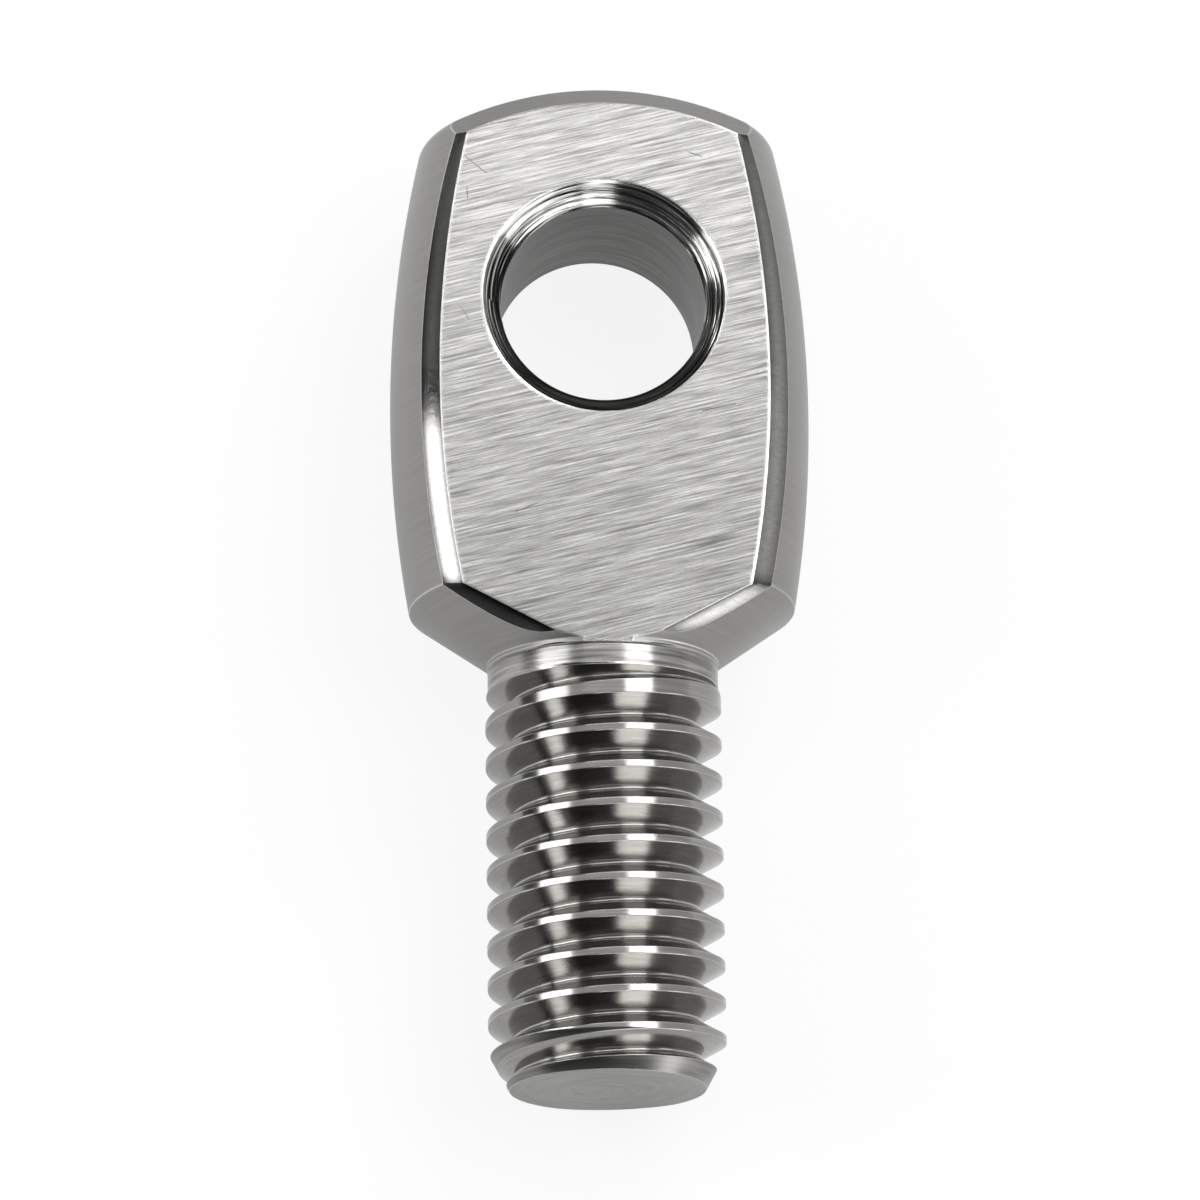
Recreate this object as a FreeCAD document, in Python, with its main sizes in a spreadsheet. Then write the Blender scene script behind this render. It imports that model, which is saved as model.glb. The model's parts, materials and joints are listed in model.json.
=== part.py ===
import FreeCAD, Part
import math
import os
import Sketcher

# Threaded eye terminal, turned and milled from one bar of stainless steel.
# The origin is the centre of the eye's bore. Y runs along the part with the eye
# at +Y and the thread's end at -Y, X is across the head, and Z is the bore's axis.
# Lengths are in millimetres, angles in degrees.
SIZES = {
    # turned outline of the head, measured along Y from the bore's centre
    "crown_above_bore": 7.92,
    "crown_radius": 11.6,
    "crown_corner_radius": 0.7,
    "head_width": 14.0,
    "widest_below_bore": 2.93,
    "side_radius": 40.5,
    "shoulder_below_bore": 9.79,
    "collar_below_bore": 11.8,
    # shank
    "collar_diameter": 7.64,
    "collar_length": 0.7,
    "collar_lead": 0.3,
    "thread_diameter": 7.82,
    "end_below_bore": 26.0,
    "end_chamfer_length": 1.25,
    "end_chamfer_inset": 0.66,
    # right-hand thread, M8 x 1.25
    "thread_pitch": 1.25,
    "thread_depth": 0.82,
    "thread_root_width": 0.08,
    "thread_angle": 60.0,
    "runout_below_bore": 13.15,
    "runout_angle": 47.0,
    "thread_tool_clearance": 0.08,
    # milled flats and their outline
    "head_thickness": 7.5,
    "flat_width": 10.94,
    "flat_widest_below_bore": 2.6,
    "flat_side_radius": 37.0,
    "flat_top_above_bore": 6.83,
    "flat_top_radius": 10.2,
    "flat_foot_width": 2.1,
    "flat_foot_angle": 28.0,
    # polished bevels round the flats, each angle measured from the flat
    "bevel_depth": 1.4,
    "side_bevel_angle": 24.0,
    "foot_bevel_angle": 49,
    "crown_bevel_angle": 45.0,
    # eye
    "bore_diameter": 6.8,
    "countersink_width": 0.65,
    "countersink_depth": 0.75,
    # how far cutting shapes reach past the steel, and the milled form into the shank
    "cutter_clearance": 0.5,
    "form_overlap": 0.3,
}


def make_sheet(doc):
    """Write each size as plain text in column B and give its cell the size's name."""
    sheet = doc.addObject("Spreadsheet::Sheet", "Sizes")
    for row, (name, value) in enumerate(SIZES.items(), start=1):
        sheet.set(f"A{row}", name)
        sheet.set(f"B{row}", str(value))
        sheet.setAlias(f"B{row}", name)
    doc.recompute()
    return sheet


def origin_plane(body, role):
    """Find one of the body's own origin planes by its role."""
    return next(item for item in body.Origin.OriginFeatures if item.Role == role)


def new_sketch(body, name, role, height=None):
    """Make a sketch on an origin plane, lifted by the expression height if one is given."""
    sketch = body.newObject("Sketcher::SketchObject", name)
    sketch.AttachmentSupport = (origin_plane(body, role), [""])
    sketch.MapMode = "FlatFace"
    if height:
        sketch.setExpression("AttachmentOffset.Base.z", height)
    return sketch


def point(x, y):
    return FreeCAD.Vector(x, y, 0)


def add_line(sketch, start, end):
    return sketch.addGeometry(Part.LineSegment(point(*start), point(*end)), False)


def add_arc(sketch, centre, radius, first, last):
    """Add an arc that runs anticlockwise between two angles in radians."""
    circle = Part.Circle(point(*centre), FreeCAD.Vector(0, 0, 1), radius)
    return sketch.addGeometry(Part.ArcOfCircle(circle, first, last), False)


def drive(sketch, name, expression, *constraint):
    """Add a constraint with a start value, name it and bind it to the sheet."""
    index = sketch.addConstraint(Sketcher.Constraint(*constraint))
    sketch.renameConstraint(index, name)
    sketch.setExpression(f"Constraints.{name}", expression)


def relate(sketch, *constraint):
    sketch.addConstraint(Sketcher.Constraint(*constraint))


# turns of the thread in each of the groove's faces
TURNS_A_FACE = 1.0

# numbers that Sketcher gives to the parts of a curve and to a sketch's own axes
START, END, CENTRE = 1, 2, 3
X_AXIS, Y_AXIS = -1, -2
ORIGIN = (-1, 1)


def circles_meet(first, first_radius, second, second_radius):
    """Give the upper crossing of two circles."""
    gap = math.dist(first, second)
    along = (first_radius**2 - second_radius**2 + gap**2) / (2 * gap)
    aside = math.sqrt(first_radius**2 - along**2)
    ux, uy = (second[0] - first[0]) / gap, (second[1] - first[1]) / gap
    foot = (first[0] + along * ux, first[1] + along * uy)
    crossings = [(foot[0] - side * uy, foot[1] + side * ux) for side in (aside, -aside)]
    return max(crossings, key=lambda spot: spot[1])


def bearing(centre, spot):
    return math.atan2(spot[1] - centre[1], spot[0] - centre[0])


def blank_section(body):
    """Half section of the turned blank: crown, corner, barrel side, cone, collar, shank, end chamfer."""
    s = SIZES
    crown_centre = (0, s["crown_above_bore"] - s["crown_radius"])
    side_centre = (s["head_width"] / 2 - s["side_radius"], -s["widest_below_bore"])
    corner = s["crown_corner_radius"]
    corner_centre = circles_meet(
        crown_centre, s["crown_radius"] - corner, side_centre, s["side_radius"] - corner
    )
    crown_tangent = bearing(crown_centre, corner_centre)
    side_tangent = bearing(side_centre, corner_centre)
    shoulder_drop = s["shoulder_below_bore"] - s["widest_below_bore"]
    shoulder_turn = -math.asin(shoulder_drop / s["side_radius"])
    shoulder = (
        side_centre[0] + s["side_radius"] * math.cos(shoulder_turn),
        -s["shoulder_below_bore"],
    )
    collar, thread = s["collar_diameter"] / 2, s["thread_diameter"] / 2
    collar_foot = -s["collar_below_bore"] - s["collar_length"]
    thread_top = collar_foot - s["collar_lead"]
    end = -s["end_below_bore"]
    corners = [
        shoulder,
        (collar, -s["collar_below_bore"]),
        (collar, collar_foot),
        (thread, thread_top),
        (thread, end + s["end_chamfer_length"]),
        (thread - s["end_chamfer_inset"], end),
        (0, end),
        (0, s["crown_above_bore"]),
    ]

    sketch = new_sketch(body, "blank_section", "XY_Plane")
    crown = add_arc(sketch, crown_centre, s["crown_radius"], crown_tangent, math.pi / 2)
    rounding = add_arc(sketch, corner_centre, corner, side_tangent, crown_tangent)
    side = add_arc(sketch, side_centre, s["side_radius"], shoulder_turn, side_tangent)
    lines = [add_line(sketch, a, b) for a, b in zip(corners, corners[1:])]
    cone, collar_wall, lead, thread_wall, chamfer, end_face, axis = lines

    relate(sketch, "Tangent", crown, START, rounding, END)
    relate(sketch, "Tangent", rounding, START, side, END)
    relate(sketch, "Coincident", side, START, cone, START)
    for upper, lower in zip(lines, lines[1:]):
        relate(sketch, "Coincident", upper, END, lower, START)
    relate(sketch, "Coincident", axis, END, crown, END)
    relate(sketch, "PointOnObject", crown, CENTRE, Y_AXIS)
    relate(sketch, "PointOnObject", crown, END, Y_AXIS)
    relate(sketch, "PointOnObject", end_face, END, Y_AXIS)
    for upright in (collar_wall, thread_wall):
        relate(sketch, "Vertical", upright)
    relate(sketch, "Horizontal", end_face)

    drive(sketch, "crown_radius", "Sizes.crown_radius", "Radius", crown, s["crown_radius"])
    drive(sketch, "crown_height", "Sizes.crown_above_bore",
          "DistanceY", *ORIGIN, crown, END, s["crown_above_bore"])
    drive(sketch, "corner_radius", "Sizes.crown_corner_radius", "Radius", rounding, corner)
    drive(sketch, "side_radius", "Sizes.side_radius", "Radius", side, s["side_radius"])
    drive(sketch, "side_centre_x", "Sizes.side_radius - Sizes.head_width / 2",
          "DistanceX", side, CENTRE, *ORIGIN, -side_centre[0])
    drive(sketch, "side_centre_y", "Sizes.widest_below_bore",
          "DistanceY", side, CENTRE, *ORIGIN, s["widest_below_bore"])
    drive(sketch, "shoulder", "Sizes.shoulder_below_bore",
          "DistanceY", cone, START, *ORIGIN, s["shoulder_below_bore"])
    drive(sketch, "collar_top", "Sizes.collar_below_bore",
          "DistanceY", cone, END, *ORIGIN, s["collar_below_bore"])
    drive(sketch, "collar_reach", "Sizes.collar_diameter / 2",
          "DistanceX", *ORIGIN, cone, END, collar)
    drive(sketch, "collar_length", "Sizes.collar_length",
          "DistanceY", collar_wall, END, collar_wall, START, s["collar_length"])
    drive(sketch, "lead_length", "Sizes.collar_lead",
          "DistanceY", lead, END, lead, START, s["collar_lead"])
    drive(sketch, "thread_reach", "Sizes.thread_diameter / 2",
          "DistanceX", *ORIGIN, lead, END, thread)
    drive(sketch, "end", "Sizes.end_below_bore",
          "DistanceY", end_face, END, *ORIGIN, s["end_below_bore"])
    drive(sketch, "chamfer_length", "Sizes.end_chamfer_length",
          "DistanceY", chamfer, END, chamfer, START, s["end_chamfer_length"])
    drive(sketch, "chamfer_inset", "Sizes.end_chamfer_inset",
          "DistanceX", chamfer, END, chamfer, START, s["end_chamfer_inset"])
    return sketch


def groove_section(doc, drop, depth_expression):
    """Section of the thread's groove on the -X side of the shank, its middle at the height drop."""
    s = SIZES
    root = s["thread_diameter"] / 2 - s["thread_depth"]
    rim = s["thread_diameter"] / 2 + s["thread_tool_clearance"]
    half_root = s["thread_root_width"] / 2
    half_rim = half_root + (rim - root) * math.tan(math.radians(s["thread_angle"] / 2))
    corners = [(-rim, drop + half_rim), (-root, drop + half_root),
               (-root, drop - half_root), (-rim, drop - half_rim)]

    sketch = doc.addObject("Sketcher::SketchObject", "groove_section")
    upper, floor, lower, mouth = (
        add_line(sketch, a, b) for a, b in zip(corners, corners[1:] + corners[:1])
    )
    for first, second in ((upper, floor), (floor, lower), (lower, mouth), (mouth, upper)):
        relate(sketch, "Coincident", first, END, second, START)
    for upright in (floor, mouth):
        relate(sketch, "Vertical", upright)
    relate(sketch, "Equal", upper, lower)
    drive(sketch, "root_reach", "Sizes.thread_diameter / 2 - Sizes.thread_depth",
          "DistanceX", floor, START, *ORIGIN, root)
    drive(sketch, "groove_depth", "Sizes.thread_depth + Sizes.thread_tool_clearance",
          "DistanceX", upper, START, upper, END, rim - root)
    drive(sketch, "root_width", "Sizes.thread_root_width",
          "DistanceY", floor, END, floor, START, 2 * half_root)
    drive(sketch, "rim_width",
          "Sizes.thread_root_width + 2 * tan(Sizes.thread_angle / 2)"
          " * (Sizes.thread_depth + Sizes.thread_tool_clearance)",
          "DistanceY", mouth, START, mouth, END, 2 * half_rim)
    drive(sketch, "drop", f"{depth_expression} - Sizes.thread_root_width / 2",
          "DistanceY", floor, START, *ORIGIN, -drop - half_root)
    return sketch


def groove_helix(doc, name, depth_expression, rise_expression, cone_expression=None):
    """Right-hand helix that climbs from the -X side of the shank, widening if a cone angle is given."""
    helix = doc.addObject("Part::Helix", name)
    helix.Placement = FreeCAD.Placement(
        FreeCAD.Vector(0, 0, 0), FreeCAD.Rotation(FreeCAD.Vector(0, 1, 1), 180)
    )
    helix.setExpression("Placement.Base.y", f"-({depth_expression})")
    helix.setExpression("Pitch", "Sizes.thread_pitch")
    helix.setExpression("Radius", "Sizes.thread_diameter / 2 + Sizes.thread_tool_clearance")
    helix.setExpression("Height", rise_expression)
    helix.SegmentLength = TURNS_A_FACE
    if cone_expression:
        helix.setExpression("Angle", cone_expression)
    return helix


def threaded_blank(doc, blank):
    """Cut the thread up from below the end, and let it run out of the shank as the tool draws back."""
    s = SIZES
    # whole turns, so that the groove starts clear of the end and stops on the -X side
    turn_count = math.ceil((s["end_below_bore"] - s["runout_below_bore"]) / s["thread_pitch"] + 0.5)
    rise = (
        "ceil((Sizes.end_below_bore - Sizes.runout_below_bore) / Sizes.thread_pitch + 0.5)"
        " * Sizes.thread_pitch"
    )
    start_depth = f"Sizes.runout_below_bore + {rise}"
    start = -s["runout_below_bore"] - turn_count * s["thread_pitch"]
    section = groove_section(doc, start, start_depth)
    path = doc.addObject("Part::Compound", "thread_path")
    path.Links = [
        groove_helix(doc, "thread_helix", start_depth, rise),
        groove_helix(
            doc, "runout_helix", "Sizes.runout_below_bore",
            "(Sizes.thread_depth + 2 * Sizes.thread_tool_clearance) / tan(Sizes.runout_angle)",
            "Sizes.runout_angle",
        ),
    ]
    doc.recompute()

    groove = doc.addObject("Part::Sweep", "thread_groove")
    groove.Sections = [section]
    groove.Spine = (path, [f"Edge{index + 1}" for index in range(len(path.Shape.Edges))])
    groove.Solid = True
    groove.Frenet = True
    groove.Transition = "Transformed"
    doc.recompute()
    threaded = doc.addObject("Part::Cut", "threaded_blank")
    threaded.Base = blank
    threaded.Tool = groove
    doc.recompute()
    removed = blank.Shape.Volume - threaded.Shape.Volume
    print("thread groove removes mm3:", round(removed, 2))
    if not 0 < removed < groove.Shape.Volume:
        raise ValueError("the thread's groove doesn't cut the shank")
    return threaded


def turned_blank(doc):
    """Bar turned to its outline, before the thread is cut."""
    body = doc.addObject("PartDesign::Body", "turned_blank")
    section = blank_section(body)
    turning = body.newObject("PartDesign::Revolution", "turning")
    turning.Profile = section
    turning.ReferenceAxis = (section, ["V_Axis"])
    turning.Angle = 360
    doc.recompute()
    return body


def foot_line_distance(reach):
    """Distance from the bore's centre to the flat's foot edge, moved out by a reach."""
    s = SIZES
    slope = math.radians(s["flat_foot_angle"])
    along = s["flat_foot_width"] / 2 * math.sin(slope)
    return along + s["collar_below_bore"] * math.cos(slope) + reach


def side_and_foot_meet(side_centre, side_radius, foot_distance):
    """Corner shared by the side arc and the straight foot edge, below the widest point."""
    slope = math.radians(SIZES["flat_foot_angle"])
    outward = (math.sin(slope), -math.cos(slope))
    gap = foot_distance - outward[0] * side_centre[0] - outward[1] * side_centre[1]
    along = math.sqrt(side_radius**2 - gap**2)
    return (
        side_centre[0] + gap * outward[0] + along * math.cos(slope),
        side_centre[1] + gap * outward[1] + along * math.sin(slope),
    )


def flat_outline(body, name, height, reaches):
    """Outline of a flat, or of its bevels lower down, where each edge has moved out by its reach.

    height is an expression; reaches gives an expression and its value for side, foot and crown.
    """
    s = SIZES
    side_more, side_by = reaches["side"]
    foot_more, foot_by = reaches["foot"]
    crown_more, crown_by = reaches["crown"]
    side_radius = s["flat_side_radius"] + side_by
    side_centre = (s["flat_width"] / 2 - s["flat_side_radius"], -s["flat_widest_below_bore"])
    top_radius = s["flat_top_radius"] + crown_by
    top_centre = (0, s["flat_top_above_bore"] - s["flat_top_radius"])
    slope = math.radians(s["flat_foot_angle"])
    foot_distance = foot_line_distance(foot_by)
    top_corner = circles_meet(top_centre, top_radius, side_centre, side_radius)
    side_corner = side_and_foot_meet(side_centre, side_radius, foot_distance)
    foot_y = -s["collar_below_bore"] - s["form_overlap"]
    foot_corner = ((foot_distance + foot_y * math.cos(slope)) / math.sin(slope), foot_y)

    def mirrored(spot):
        return (-spot[0], spot[1])

    sketch = new_sketch(body, name, "XY_Plane", height)
    top_turn = bearing(top_centre, top_corner)
    first, last = bearing(side_centre, side_corner), bearing(side_centre, top_corner)
    top = add_arc(sketch, top_centre, top_radius, top_turn, math.pi - top_turn)
    right = add_arc(sketch, side_centre, side_radius, first, last)
    left = add_arc(sketch, mirrored(side_centre), side_radius, math.pi - last, math.pi - first)
    left_foot = add_line(sketch, mirrored(side_corner), mirrored(foot_corner))
    bottom = add_line(sketch, mirrored(foot_corner), foot_corner)
    right_foot = add_line(sketch, foot_corner, side_corner)
    for item, spot, other, other_spot in (
        (right, END, top, START),
        (top, END, left, START),
        (left, END, left_foot, START),
        (left_foot, END, bottom, START),
        (bottom, END, right_foot, START),
        (right_foot, END, right, START),
    ):
        relate(sketch, "Coincident", item, spot, other, other_spot)
    relate(sketch, "PointOnObject", top, CENTRE, Y_AXIS)
    relate(sketch, "Symmetric", right, CENTRE, left, CENTRE, Y_AXIS)
    relate(sketch, "Symmetric", bottom, START, bottom, END, Y_AXIS)
    relate(sketch, "Symmetric", right_foot, END, left_foot, START, Y_AXIS)

    drive(sketch, "top_radius", f"Sizes.flat_top_radius + {crown_more}", "Radius", top, top_radius)
    drive(sketch, "top_centre", "Sizes.flat_top_radius - Sizes.flat_top_above_bore",
          "DistanceY", top, CENTRE, *ORIGIN, -top_centre[1])
    drive(sketch, "side_radius", f"Sizes.flat_side_radius + {side_more}",
          "Radius", right, side_radius)
    drive(sketch, "side_centre_x", "Sizes.flat_side_radius - Sizes.flat_width / 2",
          "DistanceX", right, CENTRE, *ORIGIN, -side_centre[0])
    drive(sketch, "side_centre_y", "Sizes.flat_widest_below_bore",
          "DistanceY", right, CENTRE, *ORIGIN, -side_centre[1])
    drive(sketch, "foot_slope", "Sizes.flat_foot_angle", "Angle", right_foot, slope)
    drive(sketch, "foot_distance",
          "Sizes.flat_foot_width / 2 * sin(Sizes.flat_foot_angle)"
          f" + Sizes.collar_below_bore * cos(Sizes.flat_foot_angle) + {foot_more}",
          "Distance", *ORIGIN, right_foot, foot_distance)
    drive(sketch, "base", "Sizes.collar_below_bore + Sizes.form_overlap",
          "DistanceY", bottom, END, *ORIGIN, -foot_y)
    return sketch


def bevel_reach(edge):
    """How far an edge's bevel has moved out where it is bevel_depth below the flat."""
    angle = SIZES[f"{edge}_bevel_angle"]
    value = SIZES["bevel_depth"] / math.tan(math.radians(angle))
    return f"Sizes.bevel_depth / tan(Sizes.{edge}_bevel_angle)", value


def milled_form(doc):
    """Everything the milling leaves: two flats with bevelled edges, the eye, and the whole shank."""
    s = SIZES
    body = doc.addObject("PartDesign::Body", "milled_form")
    edges = ("side", "foot", "crown")
    low_height = "Sizes.head_thickness / 2 - Sizes.bevel_depth"
    low_reaches = {edge: bevel_reach(edge) for edge in edges}
    flat_reaches = {edge: ("0", 0) for edge in edges}
    middle = flat_outline(body, "head_outline", None, low_reaches)
    block = body.newObject("PartDesign::Pad", "head_block")
    block.Profile = middle
    block.Midplane = True
    block.setExpression("Length", f"2 * ({low_height})")
    doc.recompute()

    low = flat_outline(body, "bevel_foot_outline", low_height, low_reaches)
    high = flat_outline(body, "flat_outline", "Sizes.head_thickness / 2", flat_reaches)
    doc.recompute()
    bevels = body.newObject("PartDesign::AdditiveLoft", "bevelled_flat")
    bevels.Profile = low
    bevels.Sections = [(high, [""])]
    bevels.Ruled = True
    doc.recompute()
    opposite = body.newObject("PartDesign::Mirrored", "opposite_flat")
    opposite.Originals = [bevels]
    opposite.MirrorPlane = (origin_plane(body, "XY_Plane"), [""])
    body.Tip = opposite
    doc.recompute()

    guard = new_sketch(body, "shank_guard_outline", "XZ_Plane", "Sizes.collar_below_bore")
    reach = s["thread_diameter"] / 2 + s["cutter_clearance"]
    circle = guard.addGeometry(
        Part.Circle(FreeCAD.Vector(0, 0, 0), FreeCAD.Vector(0, 0, 1), reach), False
    )
    relate(guard, "Coincident", circle, CENTRE, *ORIGIN)
    drive(guard, "reach", "Sizes.thread_diameter / 2 + Sizes.cutter_clearance",
          "Radius", circle, reach)
    keep = body.newObject("PartDesign::Pad", "shank_guard")
    keep.Profile = guard
    keep.setExpression(
        "Length", "Sizes.end_below_bore - Sizes.collar_below_bore + Sizes.cutter_clearance"
    )
    doc.recompute()

    section = eye_section(body)
    before = keep.Shape.Volume
    eye = body.newObject("PartDesign::Groove", "eye")
    eye.Profile = section
    eye.ReferenceAxis = (section, ["V_Axis"])
    eye.Angle = 360
    doc.recompute()
    volumes = [block.Shape.Volume, bevels.Shape.Volume, opposite.Shape.Volume, before,
               eye.Shape.Volume]
    print("milled form mm3:", [round(volume, 2) for volume in volumes])
    if not volumes[0] < volumes[1] < volumes[2] < volumes[3] or volumes[4] >= before:
        raise ValueError("a feature of the milled form adds or removes nothing")
    return body


def eye_section(body):
    """Half section of the eye: a bore that opens into a countersink at each flat."""
    s = SIZES
    bore = s["bore_diameter"] / 2
    flare = s["countersink_width"] / s["countersink_depth"]
    half = s["head_thickness"] / 2
    straight = half - s["countersink_depth"]
    top = half + s["cutter_clearance"]
    mouth = bore + s["countersink_width"] + s["cutter_clearance"] * flare
    corners = [(0, top), (mouth, top), (bore, straight), (bore, -straight), (mouth, -top), (0, -top)]
    sketch = new_sketch(body, "eye_section", "XZ_Plane")
    lines = [add_line(sketch, a, b) for a, b in zip(corners, corners[1:] + corners[:1])]
    over, upper, wall, lower, under, axis = lines
    for first, second in zip(lines, lines[1:] + lines[:1]):
        relate(sketch, "Coincident", first, END, second, START)
    relate(sketch, "PointOnObject", axis, END, Y_AXIS)
    relate(sketch, "Vertical", axis)
    relate(sketch, "Symmetric", upper, START, lower, END, X_AXIS)
    relate(sketch, "Symmetric", wall, START, wall, END, X_AXIS)
    relate(sketch, "Horizontal", over)
    relate(sketch, "Horizontal", under)
    drive(sketch, "bore", "Sizes.bore_diameter / 2", "DistanceX", *ORIGIN, wall, START, bore)
    drive(sketch, "bore_height", "Sizes.head_thickness - 2 * Sizes.countersink_depth",
          "DistanceY", wall, END, wall, START, 2 * straight)
    drive(sketch, "cut_height", "Sizes.head_thickness + 2 * Sizes.cutter_clearance",
          "DistanceY", lower, END, upper, START, 2 * top)
    drive(sketch, "mouth",
          "Sizes.bore_diameter / 2 + Sizes.countersink_width"
          " * (1 + Sizes.cutter_clearance / Sizes.countersink_depth)",
          "DistanceX", *ORIGIN, upper, START, mouth)
    return sketch


def main():
    os.makedirs("parts", exist_ok=True)
    doc = FreeCAD.newDocument("eye_terminal")
    make_sheet(doc)
    threaded = threaded_blank(doc, turned_blank(doc))
    form = milled_form(doc)
    terminal = doc.addObject("Part::MultiCommon", "eye_terminal")
    terminal.Label = "eye_terminal"
    terminal.Placement = FreeCAD.Placement()
    terminal.Shapes = [threaded, form]
    doc.recompute()

    for item in doc.Objects:
        if any(state in ("Invalid", "Error") for state in item.State):
            raise ValueError(f"{item.Name} failed: {item.State}")
        if hasattr(item, "Shape") and (item.Shape.isNull() or not item.Shape.isValid()):
            raise ValueError(f"{item.Name} has no valid shape")
    shape = terminal.Shape
    print("eye_terminal mm3:", round(shape.Volume, 2), "solids:", len(shape.Solids), shape.BoundBox)
    if len(shape.Solids) != 1:
        raise ValueError("the part is not one solid")
    shape.exportStep("parts/eye_terminal.step")


main()
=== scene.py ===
"""Dressed model of the threaded eye terminal: one piece of turned and milled stainless steel.

The shapes are modelled in millimetres and brought to metres at the end. Y runs along the
part with the eye at +Y, Z is the bore's axis, and the origin is the bore's centre.
"""

import json
import logging
import math
from abc import ABC, abstractmethod
from collections.abc import Callable, Mapping, Sequence
from dataclasses import dataclass, field
from enum import Enum

import bmesh
import bpy
from mathutils import Matrix, Vector

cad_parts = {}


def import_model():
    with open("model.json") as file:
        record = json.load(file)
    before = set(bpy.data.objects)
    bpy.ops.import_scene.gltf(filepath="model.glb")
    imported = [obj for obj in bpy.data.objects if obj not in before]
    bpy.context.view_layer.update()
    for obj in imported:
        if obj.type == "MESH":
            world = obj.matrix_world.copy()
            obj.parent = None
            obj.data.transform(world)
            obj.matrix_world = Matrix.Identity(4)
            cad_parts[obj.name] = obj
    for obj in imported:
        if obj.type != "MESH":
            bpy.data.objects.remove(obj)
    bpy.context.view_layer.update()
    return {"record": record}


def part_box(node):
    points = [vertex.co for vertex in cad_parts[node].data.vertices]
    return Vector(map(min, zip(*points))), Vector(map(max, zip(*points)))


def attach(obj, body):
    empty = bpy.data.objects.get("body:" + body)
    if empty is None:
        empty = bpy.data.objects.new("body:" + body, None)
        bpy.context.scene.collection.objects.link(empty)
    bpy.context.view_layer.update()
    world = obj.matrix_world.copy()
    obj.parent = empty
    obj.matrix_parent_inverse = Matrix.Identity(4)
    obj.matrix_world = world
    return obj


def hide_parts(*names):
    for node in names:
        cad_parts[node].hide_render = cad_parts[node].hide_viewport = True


logging.basicConfig(level=logging.INFO, format="%(message)s")
LOG = logging.getLogger("eye_terminal")

MM = 0.001
MERGE_MM = 0.0005
CUT_MM = 0.00001
NEAR_MM = 0.01
SMOOTH_ANGLE = math.radians(5.5)

Spot = tuple[float, float]
Colour = tuple[float, float, float]
Socket = bpy.types.NodeSocket
Source = Socket | float | tuple[float, ...]
Pattern = tuple[Socket, Socket]


class Axis(Enum):
    """Axis that a surface was turned or drilled about."""

    SHANK = "y"
    BORE = "z"


class Zone(Enum):
    """Stretches of the one solid that were finished differently, in material slot order."""

    TURNED = 0
    BRUSHED = 1
    POLISHED = 2
    COUNTERSINK = 3
    BORE = 4
    THREAD = 5
    COLLAR = 6
    END = 7


# Working in edit mode


def deselect() -> None:
    """Leave edit mode and deselect every object."""
    if bpy.context.mode != "OBJECT":
        bpy.ops.object.mode_set(mode="OBJECT")
    bpy.ops.object.select_all(action="DESELECT")


def activate(obj: bpy.types.Object) -> None:
    """Make an object the only selected one and the active one.

    Args:
        obj: the object.
    """
    deselect()
    obj.select_set(True)
    bpy.context.view_layer.objects.active = obj


def select_where(obj: bpy.types.Object, kind: str, test: Callable[..., bool]) -> None:
    """Select the elements of a mesh that pass a test.

    Args:
        obj: mesh object in edit mode.
        kind: "verts", "edges" or "faces".
        test: function of one bmesh element.
    """
    modes = {"verts": "VERT", "edges": "EDGE", "faces": "FACE"}
    bpy.ops.mesh.select_mode(type=modes[kind])
    bpy.ops.mesh.select_all(action="DESELECT")
    mesh = bmesh.from_edit_mesh(obj.data)
    for element in getattr(mesh, kind):
        if test(element):
            element.select_set(True)
    mesh.select_flush_mode()
    bmesh.update_edit_mesh(obj.data)


def tidy_shell() -> None:
    """Merge doubles on the mesh in edit mode and turn its faces outwards."""
    bpy.ops.mesh.select_all(action="SELECT")
    bpy.ops.mesh.remove_doubles(threshold=MERGE_MM)
    bpy.ops.mesh.normals_make_consistent(inside=False)


def draw_line(name: str, spots: Sequence[tuple[float, float, float]]) -> bpy.types.Object:
    """Draw a line through spots by extruding one corner of a plane.

    Args:
        name: name of the new object.
        spots: points in millimetres.

    Returns:
        The object, left in edit mode with all its points selected.
    """
    deselect()
    bpy.ops.mesh.primitive_plane_add(size=1, location=(0, 0, 0))
    obj = bpy.context.object
    obj.name = name
    bpy.ops.object.mode_set(mode="EDIT")
    bpy.ops.mesh.select_mode(type="VERT")
    bpy.ops.mesh.select_all(action="SELECT")
    bpy.ops.mesh.merge(type="CENTER")
    bpy.ops.transform.translate(value=spots[0])
    for here, there in zip(spots, spots[1:]):
        step = [b - a for a, b in zip(here, there)]
        bpy.ops.mesh.extrude_region_move(TRANSFORM_OT_translate={"value": step})
    bpy.ops.mesh.select_all(action="SELECT")
    return obj


def turn_profile(name: str, profile: Sequence[Spot], axis: Axis, steps: int) -> bpy.types.Object:
    """Spin a profile of (radius, height) pairs that starts and ends on the axis.

    Args:
        name: name of the new object.
        profile: points in millimetres, in order.
        axis: what the profile is turned about.
        steps: faces round the turn.

    Returns:
        The closed solid, in object mode.
    """
    if axis is Axis.SHANK:
        spots = [(radius, height, 0.0) for radius, height in profile]
        line = (0, 1, 0)
    else:
        spots = [(radius, 0.0, height) for radius, height in profile]
        line = (0, 0, 1)
    obj = draw_line(name, spots)
    bpy.ops.mesh.spin(steps=steps, angle=2 * math.pi, center=(0, 0, 0), axis=line)
    tidy_shell()
    bpy.ops.object.mode_set(mode="OBJECT")
    return obj


def combine(obj: bpy.types.Object, other: bpy.types.Object, operation: str) -> None:
    """Apply a boolean of obj with another solid, which is used up.

    Args:
        obj: solid that is changed.
        other: solid that cuts or limits it.
        operation: "INTERSECT" or "DIFFERENCE".
    """
    activate(obj)
    modifier = obj.modifiers.new("combine", "BOOLEAN")
    modifier.operation = operation
    modifier.solver = "EXACT"
    modifier.object = other
    bpy.ops.object.modifier_apply(modifier=modifier.name)
    bpy.data.objects.remove(other, do_unlink=True)


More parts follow.
